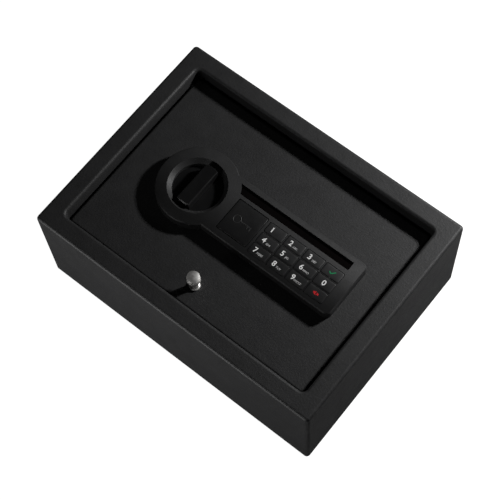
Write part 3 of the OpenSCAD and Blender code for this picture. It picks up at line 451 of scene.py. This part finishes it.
def rounded_rings(half_x, half_y, corner, insets, arc_points=7, side_points=6):
    """Rings of a rounded rectangle, each drawn in by an inset, as an array (ring, point, 2).

    The corner radius shrinks with the inset, so that the last ring can close on a line."""
    insets = np.asarray(insets, float)[:, None, None]
    radius = corner * (1.0 - insets / min(half_x, half_y))
    angle = np.radians(np.arange(4)[:, None] * 90.0 + np.linspace(0.0, 90.0, arc_points))
    sign_x = np.array([1, -1, -1, 1])[None, :, None]
    sign_y = np.array([1, 1, -1, -1])[None, :, None]
    x = sign_x * (half_x - insets - radius) + radius * np.cos(angle)
    y = sign_y * (half_y - insets - radius) + radius * np.sin(angle)
    arcs = np.stack([x, y], axis=-1)
    start, end = arcs[:, :, -1:, :], np.roll(arcs, -1, axis=1)[:, :, :1, :]
    share = np.linspace(0.0, 1.0, side_points + 2)[1:-1][None, None, :, None]
    sides = start + (end - start) * share
    return np.concatenate([arcs, sides], axis=2).reshape(len(arcs), -1, 2)


def grid_faces(rings, points):
    """Quads between neighbouring rings of points, as an array of vertex numbers."""
    columns = np.arange(points)
    after = (columns + 1) % points
    row = np.arange(rings - 1)[:, None] * points
    return np.stack([row + columns, row + after, row + points + after,
                     row + points + columns], axis=-1).reshape(-1, 4)


def surface(name, verts, faces, made, sharp=35.0):
    """A mesh object from arrays, welded, with its faces turned outwards and smooth shading."""
    mesh = bpy.data.meshes.new(name)
    mesh.from_pydata(np.asarray(verts).reshape(-1, 3).tolist(), [], np.asarray(faces).tolist())
    work = bmesh.new()
    work.from_mesh(mesh)
    bmesh.ops.remove_doubles(work, verts=work.verts, dist=0.0005 * mm)
    bmesh.ops.recalc_face_normals(work, faces=work.faces)
    work.to_mesh(mesh)
    work.free()
    mesh.shade_smooth()
    mesh.set_sharp_from_angle(angle=math.radians(sharp))
    mesh.materials.append(made)
    piece = bpy.data.objects.new(name, mesh)
    scene.collection.objects.link(piece)
    return piece


def pillow(name, low, high, corner, profile, made):
    """A closed cap: a profile of (inset, height) carried round a rounded rectangle.

    The profile starts at the middle of the underside and ends at the middle of the top."""
    profile = np.asarray(profile)
    half = (np.asarray(high) - np.asarray(low)) / 2
    centre = (np.asarray(high) + np.asarray(low)) / 2
    rings = rounded_rings(half[0], half[1], corner, profile[:, 0])
    heights = np.broadcast_to(profile[:, 1, None, None], (*rings.shape[:2], 1))
    verts = np.concatenate([rings + centre[:2], heights], axis=-1)
    return surface(name, verts, grid_faces(*rings.shape[:2]), made)


def round_over(inset, top, radius, steps=5):
    """Quarter-round edge: from the wall at inset up to the top, as (inset, height) points."""
    turn = np.linspace(0.0, math.pi / 2, steps)
    return np.column_stack([inset + radius * (1 - np.cos(turn)),
                            top - radius + radius * np.sin(turn)])


def raised_line(path, z, width, rise, sides=8):
    """A half-round ridge along a path of (x, y) points, tapered to a point at both ends.

    Each ring is the section turned square to the path; the ends close on the path itself."""
    path = np.asarray(path, float)
    ends = np.concatenate([path[:1], path, path[-1:]])
    run = np.gradient(path, axis=0)
    run = np.concatenate([run[:1], run, run[-1:]])
    across = np.column_stack([-run[:, 1], run[:, 0]]) / np.linalg.norm(run, axis=1)[:, None]
    size = np.ones(len(ends))
    size[[0, -1]] = 0.0
    turn = np.linspace(0.0, 2 * math.pi, sides, endpoint=False)
    reach = np.cos(turn)[None, :, None] * across[:, None, :] * (width / 2) * size[:, None, None]
    lift = z + np.sin(turn)[None, :, None] * rise * size[:, None, None]
    verts = np.concatenate([ends[:, None, :] + reach, lift], axis=-1)
    return verts.reshape(-1, 3), grid_faces(len(ends), sides)


def joined(parts):
    """Several (verts, faces) as one."""
    count, verts, faces = 0, [], []
    for part_verts, part_faces in parts:
        verts.append(part_verts)
        faces.append(part_faces + count)
        count += len(part_verts)
    return np.concatenate(verts), np.concatenate(faces)


def arc(centre, radius, first, last, points=24):
    """Points on a circle from one angle to another, in degrees."""
    turn = np.radians(np.linspace(first, last, points))
    return np.column_stack([centre[0] + radius * np.cos(turn),
                            centre[1] + radius * np.sin(turn)])


def line(start, end, points=6):
    """Points along a straight line."""
    return np.linspace(start, end, points)


low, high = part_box("key_cover")
cover_edge = round_over(0.0, high.z, 0.45 * mm)
key_cover_plate = pillow(
    "key_cover_plate", low, high, 1.0 * mm,
    [(0.9999 * (high.x - low.x) / 2, low.z), (0.0, low.z), *cover_edge,
     (4.0 * mm, high.z), (0.9999 * (high.x - low.x) / 2, high.z)], cover_plastic)
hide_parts("key_cover")
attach(key_cover_plate, "cover")

middle = (low + high) / 2
bow = np.array([middle.x - 6.0 * mm, middle.y])
bow_r = 3.6 * mm
tip = middle.x + 9.5 * mm
sign_lines = [arc(bow, bow_r, 0, 360, 40), line((bow[0] + bow_r, bow[1]), (tip, bow[1])),
              line((tip - 0.8 * mm, bow[1]), (tip - 0.8 * mm, bow[1] - 3.2 * mm)),
              line((tip - 3.6 * mm, bow[1]), (tip - 3.6 * mm, bow[1] - 2.4 * mm))]
verts, faces = joined([raised_line(path, high.z, 1.1 * mm, 0.22 * mm) for path in sign_lines])
key_sign = surface("key_sign", verts, faces, housing_plastic)
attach(key_sign, "cover")


# ---------- Status window ----------
# Strip of smoked acrylic sunk in the slot behind the keys, with three lamps under it that show
# the lock's state. Its near-black tone is partly the acrylic's own and partly painted shade of the
# deep slot.

# Near black: the smoked acrylic's tone, which also paints the shade of the slot
smoke_and_slot_shade, tree, shader, point, tint = material(
    "smoked_acrylic_slot_shade", (0.0022, 0.0018, 0.0018), (0.0034, 0.0026, 0.0026), (0.10, 0.18), 80.0,
    Specular_IOR_Level=0.35)
relief = placed(tree, grain, {"Vector": point}, Scale=260.0, Tooth=0.1)
bump(tree, shader, relief.outputs["Height"], 0.01 * mm, 0.3)
dress(smoke_and_slot_shade, "led_window")

lamp_resin, tree, shader, point, tint = material(
    "lamp_resin", (0.35, 0.02, 0.015), (0.50, 0.04, 0.03), (0.12, 0.22), 300.0)
relief = placed(tree, grain, {"Vector": point}, Scale=900.0, Tooth=0.2)
bump(tree, shader, relief.outputs["Height"], 0.01 * mm, 0.4)
dress(lamp_resin, "status_leds")


# ---------- Keys ----------
# Twelve soft silicone rubber caps with rounded shoulders and a slight crown. The marks are
# printed on top: white digits with small grey letters, a green tick and a red mute sign.

rubber = moulded("key_rubber", (0.0125, 0.0125, 0.0128), (0.0155, 0.0155, 0.0159),
                 (0.46, 0.56), 1300.0, 0.04 * mm, 10.0)
flange = 0.4 * mm
flange_t = 1.5 * mm
shoulder = 0.8 * mm
crown = 0.15 * mm


def ink(name, dark, light):
    """Screen-printed ink: slightly uneven and a little glossier than the rubber."""
    made, tree, shader, point, tint = material(name, dark, light, (0.30, 0.42), 900.0)
    relief = placed(tree, grain, {"Vector": point}, Scale=2500.0, Tooth=0.5)
    bump(tree, shader, relief.outputs["Height"], 0.01 * mm, 0.4)
    return made


white_ink = ink("white_ink", (0.78, 0.78, 0.77), (0.90, 0.90, 0.89))
grey_ink = ink("grey_ink", (0.40, 0.40, 0.40), (0.50, 0.50, 0.50))
green_ink = ink("green_ink", (0.008, 0.19, 0.07), (0.012, 0.26, 0.10))
red_ink = ink("red_ink", (0.42, 0.012, 0.016), (0.58, 0.018, 0.022))


def key_cap(name):
    """One cap in place of its CAD solid, and the height of its crown's middle."""
    low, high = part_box(name)
    deep = (high.y - low.y) / 2
    crown_inset = np.linspace(flange + shoulder, deep, 6)
    share = (crown_inset - flange - shoulder) / (deep - flange - shoulder)
    crown_rise = high.z - crown * (1 - share) ** 2
    profile = [(deep, low.z), (0.0, low.z), (0.0, low.z + flange_t), (flange, low.z + flange_t),
               *round_over(flange, high.z - crown, shoulder),
               *np.column_stack([crown_inset, crown_rise])[1:]]
    cap = pillow(name + "_cap", low, high, 1.5 * mm, profile, rubber)
    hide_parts(name)
    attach(cap, "press_" + name)
    return (low + high) / 2, high.z


def printed(name, words, size, place, z, made, weight, body):
    """Lettering as a thin flat mesh, centred on a place, that rides with a body."""
    curve = bpy.data.curves.new(name, "FONT")
    curve.body = words
    curve.size = size
    curve.offset = weight
    curve.extrude = 0.02 * mm
    curve.resolution_u = 6
    curve.align_x = "CENTER"
    curve.align_y = "CENTER"
    text = bpy.data.objects.new(name, curve)
    mesh = bpy.data.meshes.new_from_object(text)
    bpy.data.objects.remove(text)
    points = np.empty(len(mesh.vertices) * 3)
    mesh.vertices.foreach_get("co", points)
    points = points.reshape(-1, 3)
    middle = (points.min(axis=0) + points.max(axis=0)) / 2
    points += np.array([place[0], place[1], z]) - middle
    mesh.vertices.foreach_set("co", points.ravel())
    mesh.update()
    mesh.name = name
    mesh.materials.clear()
    mesh.materials.append(made)
    mark = bpy.data.objects.new(name, mesh)
    scene.collection.objects.link(mark)
    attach(mark, body)


print_lift = 0.02 * mm
digit_size = 7.0 * mm
digit_aside = -3.6 * mm
letter_size = 2.6 * mm
letter_right = 1.9 * mm
letter_down = 1.6 * mm
letters = {"2": "ABC", "3": "DEF", "4": "GHI", "5": "JKL", "6": "MNO", "7": "PQRS",
           "8": "TUV", "9": "WXYZ"}
for digit in "1234567890":
    name = "key_" + digit
    centre, top = key_cap(name)
    aside = 0.0 if digit == "0" else digit_aside
    printed(name + "_digit", digit, digit_size, (centre.x + aside, centre.y), top + print_lift,
            white_ink, 0.12 * mm, "press_" + name)
    if digit in letters:
        printed(name + "_letters", letters[digit], letter_size,
                (centre.x + letter_right, centre.y - letter_down), top + print_lift, grey_ink,
                0.06 * mm, "press_" + name)

centre, top = key_cap("key_enter")
corner = (centre.x - 0.9 * mm, centre.y - 1.7 * mm)
ink_rise = 0.04 * mm
tick_width = 1.0 * mm
strokes = [line((corner[0] - 1.9 * mm, corner[1] + 1.6 * mm), corner),
           line(corner, (corner[0] + 3.6 * mm, corner[1] + 3.5 * mm))]
verts, faces = joined([raised_line(path, top, tick_width, ink_rise) for path in strokes])
tick = surface("key_enter_tick", verts, faces, green_ink)
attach(tick, "press_key_enter")

centre, top = key_cap("key_mute")
cross_left, cross_right = centre.x + 0.9 * mm, centre.x + 2.9 * mm
cross_low, cross_high = centre.y - 1.1 * mm, centre.y + 1.1 * mm
cross_width = 0.8 * mm
cross = [line((cross_left, cross_low), (cross_right, cross_high)),
         line((cross_left, cross_high), (cross_right, cross_low))]

# The loudspeaker, as two slabs of quads side by side: a small square and a flaring cone
across = np.array([-2.3, -1.3, 0.0]) * mm + centre.x
half_height = np.array([0.8, 0.8, 2.0]) * mm
ring_y = np.stack([centre.y - half_height, centre.y + half_height, centre.y + half_height,
                   centre.y - half_height], axis=-1)
under, over = top - print_lift, top + ink_rise
ring_z = np.array([under, under, over, over])
slab = np.stack([np.broadcast_to(across[:, None], ring_y.shape), ring_y,
                 np.broadcast_to(ring_z, ring_y.shape)], axis=-1).reshape(-1, 3)
slab_faces = np.concatenate([grid_faces(3, 4), [[3, 2, 1, 0], [8, 9, 10, 11]]])
verts, faces = joined([(slab, slab_faces),
                       *[raised_line(path, top, cross_width, ink_rise) for path in cross]])
mute_sign = surface("key_mute_sign", verts, faces, red_ink)
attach(mute_sign, "press_key_mute")


# ---------- Inner cover's screws and battery door ----------
# Pan-head screws with a cross recess hold the moulded inner cover. The battery door is moulded
# too, with a row of ridges for the finger that lifts it.

door_plastic = moulded("door_black", (0.0130, 0.0130, 0.0136), (0.0180, 0.0180, 0.0186),
                       (0.40, 0.52), 1500.0, 0.03 * mm)
dress(door_plastic, "battery_door")
low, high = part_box("battery_door")
ridge_margin = 22 * mm
ridge_width = 1.1 * mm
ridge_rise = 0.5 * mm
ridge_y = np.linspace(low.y + 6 * mm, low.y + 14 * mm, 5)
verts, faces = joined([
    raised_line(line((low.x + ridge_margin, y), (high.x - ridge_margin, y)), low.z, ridge_width,
                ridge_rise)
    for y in ridge_y])
door_ridges = surface("door_ridges", verts, faces, door_plastic)
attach(door_ridges, "door")


def pan_head(place, radius, rise):
    """A downward pan head: a dome over a disc, less a cross-shaped dent.

    Height falls with the fourth power of the radius; the dent is where either |x| or |y| is
    small, faded out over the last part of the radius."""
    points, rings = 96, 18
    turn = np.linspace(0.0, 2 * math.pi, points, endpoint=False)
    reach = np.linspace(0.0, 1.0, rings)[:, None]
    x, y = reach * np.cos(turn), reach * np.sin(turn)
    dome = np.broadcast_to((1.0 - reach ** 4) * rise, x.shape)
    slot_width = 0.12
    slot = np.clip(1.5 - np.minimum(np.abs(x), np.abs(y)) / slot_width, 0.0, 1.0)
    fade = np.clip((0.62 - reach) / 0.08, 0.0, 1.0)
    depth = dome - 0.7 * rise * slot * fade
    verts = np.stack([place[0] + radius * x, place[1] + radius * y, place[2] - depth], axis=-1)
    return verts.reshape(-1, 3), grid_faces(rings, points)


low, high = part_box("cover_screws")
head_r = 3.0 * mm
head_t = 1.6 * mm
screw_places = [(x, y, low.z + head_t) for x in (low.x + head_r, high.x - head_r)
                for y in (low.y + head_r, high.y - head_r)]
verts, faces = joined([pan_head(place, head_r, head_t) for place in screw_places])
cover_screw_heads = surface("cover_screw_heads", verts, faces, zinc, 60.0)
rim = cover_screw_heads.modifiers.new("thickness", "SOLIDIFY")
rim.thickness = 0.3 * mm
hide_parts("cover_screws")
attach(cover_screw_heads, "lid")


# ---------- Electronics and cells ----------
# Green circuit boards with copper tracks under solder mask, a taped copper coil, a grey ribbon
# and four round cells in printed sleeves.

board_mask, tree, shader, point, tint = material(
    "solder_mask", (0.004, 0.060, 0.020), (0.006, 0.085, 0.030), (0.20, 0.32), 120.0)
track = step(tree, "TexBrick", {"Scale": 160.0, "Mortar Size": 0.06}, {"Vector": point})
tree.links.new(blend_colour(tree, track.outputs["Fac"], tint, (0.012, 0.14, 0.045)),
               shader.inputs["Base Color"])
bump(tree, shader, track.outputs["Fac"], 0.03 * mm, 0.6)
dress(board_mask, "keypad_board", "control_board")

tape, tree, shader, point, tint = material(
    "coil_tape", (0.30, 0.10, 0.015), (0.42, 0.16, 0.03), (0.25, 0.38), 200.0)
wound = step(tree, "TexWave", {"Scale": 300.0, "Distortion": 0.4}, {"Vector": point},
             bands_direction="X")
bump(tree, shader, wound.outputs["Fac"], 0.06 * mm, 0.7)
dress(tape, "solenoid_coil")

ribbon, tree, shader, point, tint = material(
    "grey_ribbon", (0.22, 0.22, 0.23), (0.30, 0.30, 0.31), (0.40, 0.52), 300.0)
wires = step(tree, "TexWave", {"Scale": 160.0}, {"Vector": point}, bands_direction="X")
bump(tree, shader, wires.outputs["Fac"], 0.15 * mm, 0.8)
dress(ribbon, "keypad_ribbon")

sleeve, tree, shader, point, tint = material(
    "cell_sleeve", (0.012, 0.012, 0.014), (0.018, 0.018, 0.020), (0.16, 0.26), 90.0)
along = step(tree, "SeparateXYZ", {}, {"Vector": point})
low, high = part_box("batteries")
band_length = 15 * mm
cap_length = 1.6 * mm
band = math_step(tree, "GREATER_THAN", along.outputs["Y"], high.y - band_length)
end_cap = math_step(tree, "GREATER_THAN",
                    math_step(tree, "ABSOLUTE", math_step(tree, "SUBTRACT", along.outputs["Y"],
                                                          (low.y + high.y) / 2)),
                    (high.y - low.y) / 2 - cap_length)
banded = blend_colour(tree, band, tint, (0.42, 0.22, 0.05))
tree.links.new(blend_colour(tree, end_cap, banded, (0.60, 0.60, 0.60)),
               shader.inputs["Base Color"])
tree.links.new(end_cap, shader.inputs["Metallic"])
relief = placed(tree, grain, {"Vector": point}, Scale=400.0, Tooth=0.2)
bump(tree, shader, relief.outputs["Height"], 0.01 * mm, 0.4)
dress(sleeve, "batteries")
